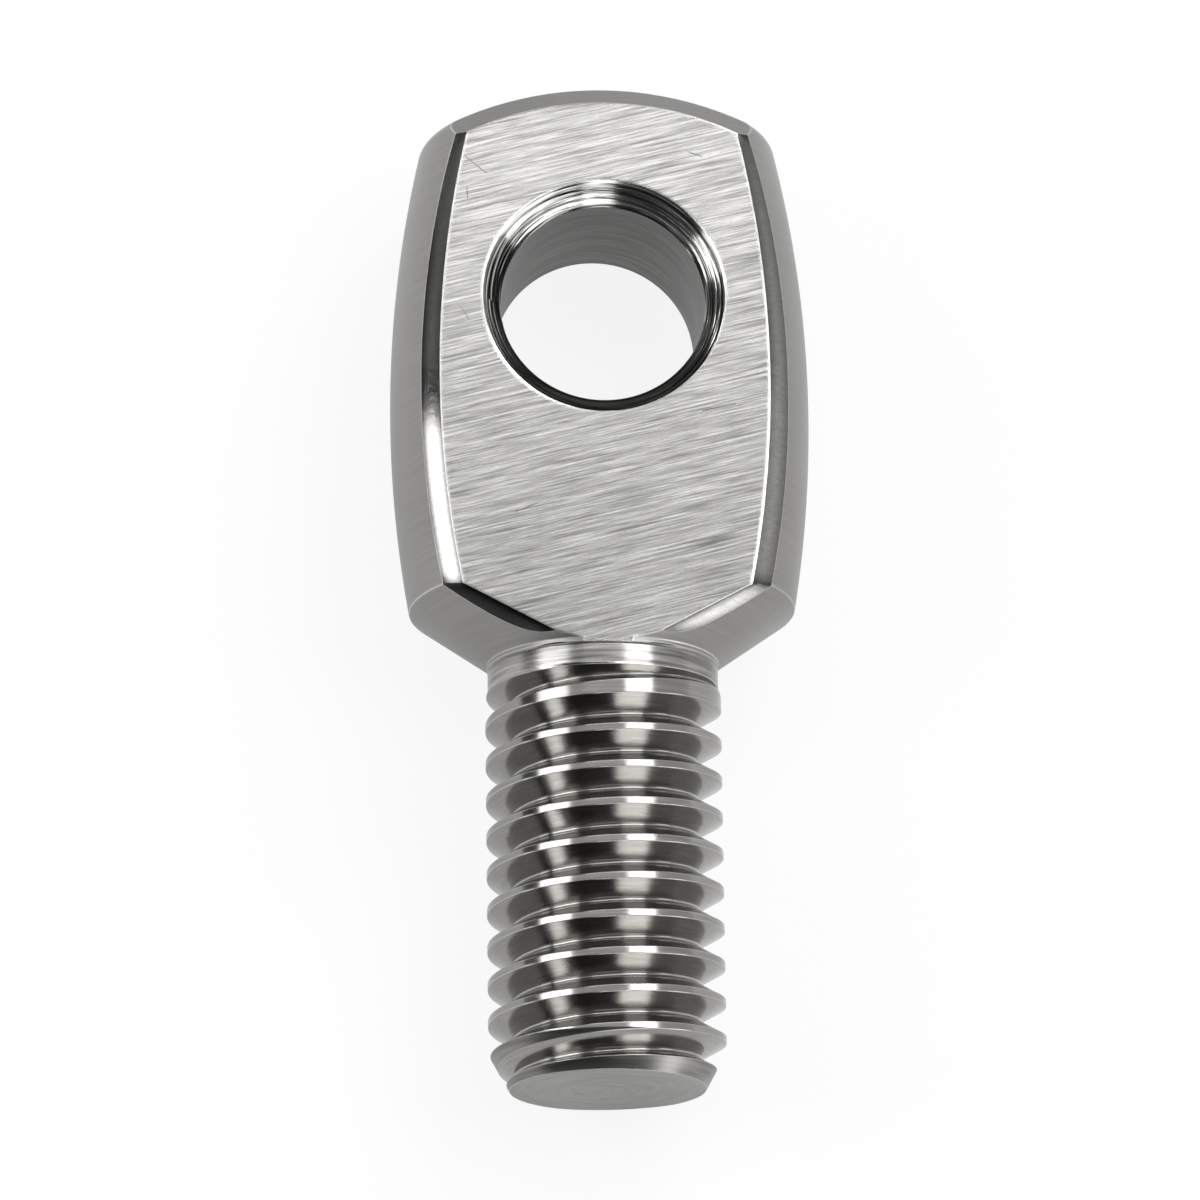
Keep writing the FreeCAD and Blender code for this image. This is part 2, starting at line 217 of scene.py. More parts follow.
def arc(centre: Spot, radius: float, first: float, last: float, steps: int) -> list[Spot]:
    """Give points of an arc between two angles in radians, both ends included."""
    turns = (first + (last - first) * index / steps for index in range(steps + 1))
    return [(centre[0] + radius * math.cos(a), centre[1] + radius * math.sin(a)) for a in turns]


def bearing(centre: Spot, spot: Spot) -> float:
    """Give the angle at which spot is seen from centre."""
    return math.atan2(spot[1] - centre[1], spot[0] - centre[0])


def upper_crossing(first: Spot, first_radius: float, second: Spot, second_radius: float) -> Spot:
    """Find where two circles cross.

    Args:
        first: centre of the first circle.
        first_radius: its radius.
        second: centre of the second circle.
        second_radius: its radius.

    Returns:
        The upper one of the two crossings.
    """
    gap = math.dist(first, second)
    along = (first_radius**2 - second_radius**2 + gap**2) / (2 * gap)
    aside = math.sqrt(first_radius**2 - along**2)
    ux, uy = (second[0] - first[0]) / gap, (second[1] - first[1]) / gap
    spots = [
        (first[0] + along * ux - side * uy, first[1] + along * uy + side * ux)
        for side in (aside, -aside)
    ]
    return max(spots, key=lambda spot: spot[1])


def rounded_corner(before: Spot, corner: Spot, after: Spot, radius: float, steps: int) -> list[Spot]:
    """Round a corner of an outline.

    Args:
        before: a point on the line that comes in.
        corner: where the two lines meet.
        after: a point on the line that goes out.
        radius: radius of the rounding.
        steps: stretches of the rounding.

    Returns:
        Points of the arc, from the incoming to the outgoing line.
    """
    here = Vector(corner)
    back, on = (Vector(before) - here).normalized(), (Vector(after) - here).normalized()
    half = back.angle(on) / 2
    centre = here + (back + on).normalized() * (radius / math.sin(half))
    start = here + back * (radius / math.tan(half))
    finish = here + on * (radius / math.tan(half))
    first = bearing(tuple(centre), tuple(start))
    swing = (bearing(tuple(centre), tuple(finish)) - first + math.pi) % (2 * math.pi) - math.pi
    return arc(tuple(centre), radius, first, first + swing, steps)


# The head


@dataclass
class Head:
    """Barrel-shaped head with two brushed flats, bevelled edges and a countersunk eye."""

    crown_height: float
    width: float
    thickness: float
    shoulder_drop: float = 9.79
    collar_drop: float = 11.8
    crown_radius: float = 11.6
    corner_radius: float = 0.7
    widest_drop: float = 2.93
    side_radius: float = 40.5
    shoulder_rounding: float = 0.07
    neck_drop: float = 11.64
    neck_radius: float = 3.84
    plug_radius: float = 3.4
    plug_length: float = 0.3
    flat_width: float = 10.94
    flat_widest_drop: float = 2.6
    flat_side_radius: float = 37.0
    flat_top: float = 6.83
    flat_top_radius: float = 10.2
    flat_foot_width: float = 2.1
    flat_foot_angle: float = 28.0
    side_bevel_angle: float = 24.0
    foot_bevel_angle: float = 49.0
    crown_bevel_angle: float = 45.0
    bore_radius: float = 3.4
    countersink_width: float = 0.62
    countersink_depth: float = 0.75
    countersink_shift: float = 0.1
    countersink_swing: float = 6.0
    lip_width: float = 0.06
    lip_depth: float = 0.6
    steps: int = 288
    crown_steps: int = 28
    corner_steps: int = 10
    side_steps: int = 30
    shoulder_steps: int = 12
    flare_steps: int = 10
    bevel_steps: int = 720
    overcut: float = 0.5

    @property
    def half(self) -> float:
        """Height of the upper flat above the bore's centre."""
        return self.thickness / 2

    def turned_profile(self) -> list[Spot]:
        """Outline of the turned head.

        Returns:
            Points from the crown's pole to inside the collar.
        """
        crown_centre = (0.0, self.crown_height - self.crown_radius)
        side_centre = (self.width / 2 - self.side_radius, -self.widest_drop)
        corner_centre = upper_crossing(
            crown_centre, self.crown_radius - self.corner_radius,
            side_centre, self.side_radius - self.corner_radius,
        )
        crown_turn = bearing(crown_centre, corner_centre)
        side_turn = bearing(side_centre, corner_centre)
        foot_turn = -math.asin((self.shoulder_drop - self.widest_drop) / self.side_radius)
        crown = arc(crown_centre, self.crown_radius, math.pi / 2, crown_turn, self.crown_steps)
        corner = arc(corner_centre, self.corner_radius, crown_turn, side_turn, self.corner_steps)
        side = arc(side_centre, self.side_radius, side_turn, foot_turn, self.side_steps)
        neck = (self.neck_radius, -self.neck_drop)
        shoulder = rounded_corner(
            side[-2], side[-1], neck, self.shoulder_rounding, self.shoulder_steps
        )
        foot = -self.collar_drop
        inside = foot - self.plug_length
        return (
            [(0.0, self.crown_height)] + crown[1:] + corner[1:] + side[1:-1] + shoulder
            + [neck, (self.neck_radius, foot), (self.plug_radius, foot)]
            + [(self.plug_radius, inside), (0.0, inside)]
        )

    def bevel_cone(self, name: str, centre: Spot, radius: float, angle: float) -> bpy.types.Object:
        """Cone whose wall is one bevel and which holds the rest of the head.

        Args:
            name: name of the new object.
            centre: centre of the flat's edge arc.
            radius: radius of that arc on the flat.
            angle: angle between bevel and flat in degrees.

        Returns:
            The cone.
        """
        over, under = self.overcut, self.half + self.overcut
        spread = 1 / math.tan(math.radians(angle))
        deselect()
        bpy.ops.mesh.primitive_cone_add(
            vertices=self.bevel_steps,
            radius1=radius + under * spread,
            radius2=radius - over * spread,
            depth=over + under,
            location=(centre[0], centre[1], self.half + (over - under) / 2),
        )
        cone = bpy.context.object
        cone.name = name
        bpy.ops.object.transform_apply(location=True, rotation=True, scale=True)
        return cone

    def mill_upper_half(self, head: bpy.types.Object) -> None:
        """Keep the upper half and cut its flat, its three kinds of bevel and its eye.

        Args:
            head: the turned head.
        """
        activate(head)
        bpy.ops.object.mode_set(mode="EDIT")
        slope = math.radians(self.flat_foot_angle)
        tilt = math.radians(self.foot_bevel_angle)
        planes = [((0, 0, self.half), (0, 0, 1)), ((0, 0, 0), (0, 0, -1))]
        for side in (1, -1):
            outward = (
                side * math.sin(slope) * math.sin(tilt),
                -math.cos(slope) * math.sin(tilt),
                math.cos(tilt),
            )
            foot = (side * self.flat_foot_width / 2, -self.collar_drop, self.half)
            planes.append((foot, outward))
        for place, outward in planes:
            bpy.ops.mesh.select_all(action="SELECT")
            bpy.ops.mesh.bisect(
                plane_co=place, plane_no=outward, use_fill=True, clear_outer=True, threshold=CUT_MM
            )
        bpy.ops.object.mode_set(mode="OBJECT")

        side_x = self.flat_width / 2 - self.flat_side_radius
        side_y = -self.flat_widest_drop
        for name, centre, radius, angle in (
            ("right_bevel", (side_x, side_y), self.flat_side_radius, self.side_bevel_angle),
            ("left_bevel", (-side_x, side_y), self.flat_side_radius, self.side_bevel_angle),
            ("crown_bevel", (0.0, self.flat_top - self.flat_top_radius),
             self.flat_top_radius, self.crown_bevel_angle),
        ):
            combine(head, self.bevel_cone(name, centre, radius, angle), "INTERSECT")
        combine(head, self.drill(), "DIFFERENCE")

    def drill(self) -> bpy.types.Object:
        """Turn the solid that cuts half the bore, the steep lip above it and the countersink.

        Returns:
            The solid, with its countersink moved a little towards the crown.
        """
        rim = (self.bore_radius + self.countersink_width, self.half)
        root = (self.bore_radius, self.half - self.countersink_depth)
        lip = (self.bore_radius + self.lip_width, self.half - self.lip_depth)
        half_swing = math.radians(self.countersink_swing / 2)
        radius = math.dist(rim, lip) / 2 / math.sin(half_swing)
        across = bearing(lip, rim) - math.pi / 2
        middle = ((rim[0] + lip[0]) / 2, (rim[1] + lip[1]) / 2)
        back = radius * math.cos(half_swing)
        centre = (middle[0] + back * math.cos(across), middle[1] + back * math.sin(across))
        first = bearing(centre, lip)
        flare = arc(centre, radius, first, first - 2 * half_swing, self.flare_steps)
        under, over = -2 * self.overcut, self.half + 2 * self.overcut
        beyond = (rim[0] + 0.3, rim[1] + 0.12)
        profile = [(0.0, under), (self.bore_radius, under), root] + flare
        profile += [beyond, (beyond[0], over), (0.0, over)]
        drill = turn_profile("drill", profile, Axis.BORE, self.steps)
        activate(drill)
        bpy.ops.object.mode_set(mode="EDIT")
        select_where(drill, "verts", lambda v: v.co.z > root[1] + NEAR_MM)
        bpy.ops.transform.translate(value=(0, self.countersink_shift, 0))
        bpy.ops.object.mode_set(mode="OBJECT")
        return drill

    def build(self) -> bpy.types.Object:
        """Turn the head, mill its upper half and mirror that to the lower one.

        Returns:
            The head, open nowhere, in object mode.
        """
        head = turn_profile("head", self.turned_profile(), Axis.SHANK, self.steps)
        self.mill_upper_half(head)
        activate(head)
        bpy.ops.object.mode_set(mode="EDIT")
        select_where(
            head, "faces",
            lambda f: abs(f.normal.z) > 0.999 and abs(f.calc_center_median().z) < NEAR_MM,
        )
        bpy.ops.mesh.delete(type="FACE")
        bpy.ops.object.mode_set(mode="OBJECT")
        mirror = head.modifiers.new("lower_half", "MIRROR")
        mirror.use_axis = (False, False, True)
        mirror.use_mirror_merge = True
        mirror.merge_threshold = 0.001
        bpy.ops.object.modifier_apply(modifier=mirror.name)
        bpy.ops.object.mode_set(mode="EDIT")
        tidy_shell()
        bpy.ops.object.mode_set(mode="OBJECT")
        return head


# The shank


@dataclass
class Shank:
    """Right-hand threaded shank with a plain collar, a run-out and a chamfered end."""

    end_drop: float
    thread_radius: float = 3.91
    thread_depth: float = 0.82
    pitch: float = 1.25
    root_width: float = 0.08
    flank_angle: float = 60.0
    crest_rounding: float = 0.03
    runout_drop: float = 13.15
    runout_turns: float = 0.6
    plain_drop: float = 12.36
    lead_drop: float = 12.8
    collar_radius: float = 3.82
    collar_foot_drop: float = 12.5
    collar_drop: float = 11.8
    collar_chamfer: float = 0.08
    end_chamfer_length: float = 1.25
    end_chamfer_inset: float = 0.68
    steps: int = 120
    crest_steps: int = 3
    root_steps: int = 4
    spare_turns: int = 3
    envelope_steps: int = 360

    def groove_profile(self) -> list[Spot]:
        """Outline of one pitch of the thread.

        Returns:
            Points as (radius, height) pairs, from mid crest to mid crest.
        """
        half_angle = math.radians(self.flank_angle / 2)
        half_root = self.root_width / 2
        root = self.thread_radius - self.thread_depth
        top = (self.thread_radius, half_root + self.thread_depth * math.tan(half_angle))
        middle = (self.thread_radius, self.pitch / 2)
        crest = rounded_corner(middle, top, (root, half_root), self.crest_rounding, self.crest_steps)
        radius = half_root * math.cos(half_angle) / (1 - math.sin(half_angle))
        start = math.pi / 2 + half_angle
        bottom = arc((root + radius, 0.0), radius, start, math.pi, self.root_steps)
        upper = [middle] + crest + bottom
        lower = [(spot[0], -spot[1]) for spot in upper[:-1]]
        return lower + upper[::-1]

    def build(self) -> bpy.types.Object:
        """Screw the groove's profile up the shank, let it run out, and close both ends.

        Returns:
            The closed shank, in object mode.
        """
        profile = self.groove_profile()
        full_turns = math.ceil((self.end_drop - self.runout_drop) / self.pitch + 0.5)
        start = -self.runout_drop - full_turns * self.pitch
        shank = draw_line("shank", [(-radius, start + height, 0) for radius, height in profile])
        bpy.ops.object.mode_set(mode="OBJECT")
        screw = shank.modifiers.new("thread", "SCREW")
        screw.axis = "Y"
        screw.angle = 2 * math.pi
        screw.screw_offset = self.pitch
        screw.iterations = full_turns + self.spare_turns
        screw.steps = self.steps
        screw.render_steps = self.steps
        screw.use_merge_vertices = False
        bpy.ops.object.modifier_apply(modifier=screw.name)
        self.run_out(shank, len(profile), full_turns, start)
        self.close_ends(shank)
        return shank

    def run_out(self, shank: bpy.types.Object, points: int, full_turns: int, start: float) -> None:
        """Scale each section of the groove towards the crest as the tool draws back.

        Args:
            shank: the screwed thread.
            points: points in one section.
            full_turns: turns cut to full depth.
            start: height of the first section's middle on the -X side.
        """
        bpy.ops.object.mode_set(mode="EDIT")
        bpy.ops.mesh.select_mode(type="VERT")
        total = len(shank.data.vertices) // points
        for section in range(full_turns * self.steps, total):
            turn = section / self.steps
            left = max(0.0, 1 - (turn - full_turns) / self.runout_turns)
            mesh = bmesh.from_edit_mesh(shank.data)
            mesh.verts.ensure_lookup_table()
            for vert in mesh.verts:
                vert.select = False
            mesh.select_flush(False)
            for index in range(section * points + 1, (section + 1) * points - 1):
                mesh.verts[index].select = True
            bmesh.update_edit_mesh(shank.data)
            angle = turn * 2 * math.pi
            middle = (
                -self.thread_radius * math.cos(angle),
                start + turn * self.pitch,
                self.thread_radius * math.sin(angle),
            )
            bpy.ops.transform.resize(value=(left, left, left), center_override=middle)
        tidy_shell()
        bpy.ops.object.mode_set(mode="OBJECT")

    def close_ends(self, shank: bpy.types.Object) -> None:
        """Face the end, draw the top up to the collar's rim, and turn the outside down.

        Args:
            shank: the screwed thread, open at both ends.
        """
        activate(shank)
        bpy.ops.object.mode_set(mode="EDIT")
        bpy.ops.mesh.select_all(action="SELECT")
        bpy.ops.mesh.bisect(
            plane_co=(0, -self.end_drop, 0), plane_no=(0, -1, 0),
            use_fill=True, clear_outer=True, threshold=CUT_MM,
        )
        bpy.ops.mesh.select_all(action="SELECT")
        bpy.ops.mesh.bisect(
            plane_co=(0, -self.plain_drop, 0), plane_no=(0, 1, 0),
            use_fill=False, clear_outer=True, threshold=CUT_MM,
        )
        select_where(shank, "edges", lambda e: e.is_boundary)
        rise = self.plain_drop - self.collar_drop
        bpy.ops.mesh.extrude_region_move(TRANSFORM_OT_translate={"value": (0, rise, 0)})
        bpy.ops.mesh.extrude_region_move(TRANSFORM_OT_translate={"value": (0, 0, 0)})
        bpy.ops.mesh.merge(type="CENTER")
        tidy_shell()
        bpy.ops.object.mode_set(mode="OBJECT")
        outside = turn_profile("envelope", self.envelope(), Axis.SHANK, self.envelope_steps)
        combine(shank, outside, "INTERSECT")

    def envelope(self) -> list[Spot]:
        """Outline that the whole shank is turned down to, clear of the thread between its ends.

        Returns:
            Points as (radius, height) pairs, from below the end to above the collar.
        """
        slope = self.end_chamfer_inset / self.end_chamfer_length
        tip = self.thread_radius - self.end_chamfer_inset
        over, clear = 0.4, 0.3
        collar, top = self.collar_radius, -self.collar_drop
        return [
            (0.0, -self.end_drop - over),
            (tip - over * slope, -self.end_drop - over),
            (self.thread_radius + clear, -self.end_drop + self.end_chamfer_length + clear / slope),
            (self.thread_radius + clear, -self.lead_drop - clear / 2),
            (self.thread_radius, -self.lead_drop),
            (collar, -self.collar_foot_drop),
            (collar, top - self.collar_chamfer),
            (collar - self.collar_chamfer, top),
            (collar - self.collar_chamfer - over, top + over),
            (0.0, top + over),
        ]


# Zones


@dataclass
class Zoning:
    """Tells which finish each face of the piece has, by its place and normal in millimetres."""

    head: Head
    shank: Shank
    same_slope: float = 0.004
    collar_reach: float = 0.35
    collar_band: float = 0.1
    countersink_reach: float = 0.4
    countersink_drop: float = 1.2
    bevel_height: float = 2.5
    side_bevel_from: float = 3.0
    foot_bevel_drop: float = 9.0

    def of(self, centre: Vector, normal: Vector) -> Zone:
        """Find the zone of a face.

        Args:
            centre: the face's centre.
            normal: its normal.

        Returns:
            Its zone.
        """
        if centre.y < -self.head.collar_drop - 0.1 * NEAR_MM:
            return self.on_shank(centre, normal)
        return self.on_head(centre, normal)

    def on_shank(self, centre: Vector, normal: Vector) -> Zone:
        """Find the zone of a face below the head."""
        radius = math.hypot(centre.x, centre.z)
        lead = self.shank.end_chamfer_length - self.shank.end_drop
        if normal.y < -0.3 and centre.y < lead and self.turned_down(radius, centre.y):
            return Zone.END
        above_groove = centre.y > -self.shank.collar_foot_drop - self.collar_reach
        outside = radius > self.shank.collar_radius - self.collar_band
        if above_groove and outside and abs(normal.y) < 0.8:
            return Zone.COLLAR
        return Zone.THREAD

    def turned_down(self, radius: float, height: float) -> bool:
        """Tell whether a spot of the shank lies on its faced end or on its chamfer."""
        rise = height + self.shank.end_drop
        slope = self.shank.end_chamfer_inset / self.shank.end_chamfer_length
        outside = self.shank.thread_radius - self.shank.end_chamfer_inset + rise * slope
        return rise < NEAR_MM or radius > outside - 2 * NEAR_MM

    def on_head(self, centre: Vector, normal: Vector) -> Zone:
        """Find the zone of a face of the head."""
        head = self.head
        across, up = math.hypot(centre.x, centre.y), abs(centre.z)
        inward = centre.x * normal.x + centre.y * normal.y < 0
        if abs(normal.z) > 0.9999 and abs(up - head.half) < 0.2 * NEAR_MM:
            return Zone.BRUSHED
        if across < head.bore_radius + 2 * NEAR_MM and inward:
            return Zone.BORE
        reach = head.bore_radius + head.countersink_width + self.countersink_reach
        if across < reach and up > head.half - self.countersink_drop:
            return Zone.COUNTERSINK
        if up > self.bevel_height:
            at_side = abs(centre.x) > self.side_bevel_from
            at_foot = centre.y < -self.foot_bevel_drop
            if at_side and self.slopes(normal, head.side_bevel_angle):
                return Zone.POLISHED
            if at_foot and self.slopes(normal, head.foot_bevel_angle):
                return Zone.POLISHED
        return Zone.TURNED

    def slopes(self, normal: Vector, angle: float) -> bool:
        """Tell whether a face stands at an angle in degrees to the flats."""
        return abs(abs(normal.z) - math.cos(math.radians(angle))) < self.same_slope


# Finishes


def socket(group: bpy.types.NodeTree, name: str, way: str, kind: str, value: float = 0.0) -> None:
    """Add one socket to a node group.

    Args:
        group: the node group.
        name: the socket's name.
        way: "INPUT" or "OUTPUT".
        kind: the socket's type.
        value: start value, where it is a number going in.
    """
    made = group.interface.new_socket(name=name, in_out=way, socket_type=kind)
    if kind == "NodeSocketFloat" and way == "INPUT":
        made.default_value = value


@dataclass(frozen=True)
class Graph:
    """Node tree with short ways to add nodes and to feed them."""

    tree: bpy.types.NodeTree

    def add(
        self, kind: str, sources: Mapping[str | int, Source] | None = None, **settings: object
    ) -> bpy.types.Node:
        """Add a node.

        Args:
            kind: the node's type.
            sources: what goes into its inputs, as for feed.
            **settings: properties to set before the inputs are fed.

        Returns:
            The new node.
        """
        node = self.tree.nodes.new(kind)
        for name, value in settings.items():
            setattr(node, name, value)
        self.feed(node, sources or {})
        return node

    def feed(self, node: bpy.types.Node, sources: Mapping[str | int, Source]) -> None:
        """Link or set a node's inputs.

        Args:
            node: the node.
            sources: for each input's name or index, a socket to link or a constant to set.
        """
        for key, source in sources.items():
            if isinstance(source, Socket):
                self.tree.links.new(source, node.inputs[key])
            else:
                node.inputs[key].default_value = source


def marks_group() -> bpy.types.NodeTree:
    """Node group of the fine lines that a tool leaves round the Z axis of its vector.

    Returns:
        A group with inputs Vector, Rings and Patches (both per metre), and outputs Lines and
        Smudge, each from 0 to 1.
    """
    group = bpy.data.node_groups.new("turning_marks", "ShaderNodeTree")
    socket(group, "Vector", "INPUT", "NodeSocketVector")
    socket(group, "Rings", "INPUT", "NodeSocketFloat", 9000.0)
    socket(group, "Patches", "INPUT", "NodeSocketFloat", 300.0)
    socket(group, "Lines", "OUTPUT", "NodeSocketFloat")
    socket(group, "Smudge", "OUTPUT", "NodeSocketFloat")
    graph = Graph(group)
    given = graph.add("NodeGroupInput").outputs
    made = graph.add("NodeGroupOutput")
    x, y, z = graph.add("ShaderNodeSeparateXYZ", {0: given["Vector"]}).outputs
    flat = graph.add("ShaderNodeCombineXYZ", {"X": x, "Y": y})
    radius = graph.add("ShaderNodeVectorMath", {0: flat.outputs[0]}, operation="LENGTH")
    turn = graph.add("ShaderNodeMath", {0: y, 1: x}, operation="ARCTAN2")
    outward, upward = (
        graph.add("ShaderNodeMath", {0: source, 1: given["Rings"]}, operation="MULTIPLY").outputs[0]
        for source in (radius.outputs["Value"], z)
    )
    place = graph.add("ShaderNodeCombineXYZ", {"X": outward, "Y": upward, "Z": turn.outputs[0]})
    rings = graph.add("ShaderNodeTexNoise", {
        "Vector": place.outputs[0], "Scale": 1.0, "Detail": 2.0, "Roughness": 0.55,
    })
    patches = graph.add("ShaderNodeTexNoise", {
        "Vector": given["Vector"], "Scale": given["Patches"], "Detail": 3.0,
    })
    graph.feed(made, {"Lines": rings.outputs["Fac"], "Smudge": patches.outputs["Fac"]})
    return group


def hairline_group() -> bpy.types.NodeTree:
    """Node group that marks a straight scratch between two points of the XY plane.

    Returns:
        A group with inputs Vector, Start, Finish and Width, and the output Mask.
    """
    group = bpy.data.node_groups.new("hairline", "ShaderNodeTree")
    for name in ("Vector", "Start", "Finish"):
        socket(group, name, "INPUT", "NodeSocketVector")
    socket(group, "Width", "INPUT", "NodeSocketFloat", 0.00002)
    socket(group, "Mask", "OUTPUT", "NodeSocketFloat")
    graph = Graph(group)
    given = graph.add("NodeGroupInput").outputs
    made = graph.add("NodeGroupOutput")

    def vector(operation: str, first: Source, second: Source) -> Socket:
        """Add a vector maths node and give its first output."""
        node = graph.add("ShaderNodeVectorMath", {0: first, 1: second}, operation=operation)
        return next(output for output in node.outputs if output.enabled)

    flat = vector("MULTIPLY", given["Vector"], (1, 1, 0))
    run = vector("SUBTRACT", given["Finish"], given["Start"])
    here = vector("SUBTRACT", flat, given["Start"])
    part = graph.add(
        "ShaderNodeMath",
        {0: vector("DOT_PRODUCT", here, run), 1: vector("DOT_PRODUCT", run, run)},
        operation="DIVIDE", use_clamp=True,
    )
    nearest = graph.add(
        "ShaderNodeVectorMath", {0: run, "Scale": part.outputs[0]}, operation="SCALE"
    )
    away = vector("DISTANCE", here, nearest.outputs[0])
    fade = graph.add("ShaderNodeMath", {0: away, 1: given["Width"]}, operation="DIVIDE")
    mask = graph.add(
        "ShaderNodeMath", {0: 1.0, 1: fade.outputs[0]}, operation="SUBTRACT", use_clamp=True
    )
    graph.feed(made, {"Mask": mask.outputs[0]})
    return group


@dataclass(frozen=True, kw_only=True)
class SteelFinish(ABC):
    """One way the steel was finished.

    Colours run from dark to light and roughness from smooth to rough along the tool's lines.
    Spread is how far the lines' value moves for the full change of colour, ridge their height in
    millimetres and relief its strength. Patches is the smudges' scale per metre, and smudge their
    share in the roughness. Edge is the radius in millimetres that edges are rounded by, rim the
    painted highlight or painted dark reflection tone that rounded edges are given, and
    edge_sheen_reach how far they have to be rounded for that.
    """

    name: str
    dark: Colour
    light: Colour
    smooth: float
    rough: float
    relief: float
    patches: float = 260.0
    smudge: float = 0.5
    edge: float = 0.05
    rim: float = 0.5
    edge_sheen_reach: float = 0.02
    spread: float = 0.2
    ridge: float = 0.01

    @abstractmethod
    def pattern(self, graph: Graph, place: Socket, marks: bpy.types.NodeTree) -> Pattern:
        """Add the nodes of the tool's lines.

        Args:
            graph: the material's nodes.
            place: Object coordinates.
            marks: node group of turning marks.

        Returns:
            The value of the lines and that of the smudges.
        """

    def material(self, marks: bpy.types.NodeTree) -> bpy.types.Material:
        """Build the material.

        Args:
            marks: node group of turning marks.

        Returns:
            The new material.
        """
        material = bpy.data.materials.new(self.name)
        material.use_nodes = True
        graph = Graph(material.node_tree)
        place = graph.add("ShaderNodeTexCoord").outputs["Object"]
        lines, smudge = self.pattern(graph, place, marks)
        self.dress(graph, lines, smudge)
        return material

    def dress(self, graph: Graph, lines: Socket, smudge: Socket) -> None:
        """Lead the lines and smudges to the shader's colour, roughness and relief.

        Args:
            graph: the material's nodes.
            lines: value of the fine lines.
            smudge: value of the broad smudges.
        """
        spread = graph.add("ShaderNodeMapRange", {
            "Value": lines, "From Min": 0.5 - self.spread, "From Max": 0.5 + self.spread,
        })
        tone = graph.add("ShaderNodeMix", {
            "Factor": spread.outputs[0], "A": (*self.dark, 1), "B": (*self.light, 1),
        }, data_type="RGBA")
        both = graph.add(
            "ShaderNodeMix", {"Factor": self.smudge, "A": lines, "B": smudge}, data_type="FLOAT"
        )
        gloss = graph.add("ShaderNodeMapRange", {
            "Value": both.outputs["Result"], "From Min": 0.3, "From Max": 0.7,
            "To Min": self.smooth, "To Max": self.rough,
        })
        soft = graph.add("ShaderNodeBevel", {"Radius": self.edge * MM}, samples=4).outputs[0]
        bump = graph.add("ShaderNodeBump", {
            "Strength": self.relief, "Distance": self.ridge * MM, "Height": lines, "Normal": soft,
        })
        # Painted highlight on rounded edges: where the shading normal bends away from the surface,
        # the colour turns to the rim tone (a painted dark reflection where that tone is near black).
        surface = graph.add("ShaderNodeNewGeometry").outputs["Normal"]
        match = graph.add("ShaderNodeVectorMath", {0: surface, 1: soft}, operation="DOT_PRODUCT")
        painted_edge_sheen = graph.add("ShaderNodeMapRange", {
            "Value": match.outputs["Value"],
            "From Min": 1 - self.edge_sheen_reach / 20, "From Max": 1 - self.edge_sheen_reach,
        })
        colour = graph.add("ShaderNodeMix", {
            "Factor": painted_edge_sheen.outputs[0], "A": tone.outputs["Result"],
            "B": (self.rim, self.rim * 0.99, self.rim * 0.97, 1),
        }, data_type="RGBA")
        graph.feed(graph.tree.nodes["Principled BSDF"], {
            "Metallic": 1.0, "Base Color": colour.outputs["Result"],
            "Roughness": gloss.outputs[0], "Normal": bump.outputs[0],
        })


@dataclass(frozen=True, kw_only=True)
class TurnedFinish(SteelFinish):
    """Surface with rings, counted per metre, round the axis it was turned or drilled about."""

    rings: float
    axis: Axis = Axis.SHANK

    def pattern(self, graph: Graph, place: Socket, marks: bpy.types.NodeTree) -> Pattern:
        """Add the nodes of the rings."""
        tip = math.pi / 2 if self.axis is Axis.SHANK else 0.0
        turned = graph.add("ShaderNodeMapping", {"Vector": place, "Rotation": (tip, 0, 0)})
        rings = graph.add("ShaderNodeGroup", {
            "Vector": turned.outputs[0], "Rings": self.rings, "Patches": self.patches,
        }, node_tree=marks)
        return rings.outputs["Lines"], rings.outputs["Smudge"]


@dataclass(frozen=True)
class Hairline:
    """One fine dark scratch on the flat, from start to finish in millimetres."""

    start: Spot
    finish: Spot
    width: float = 0.02


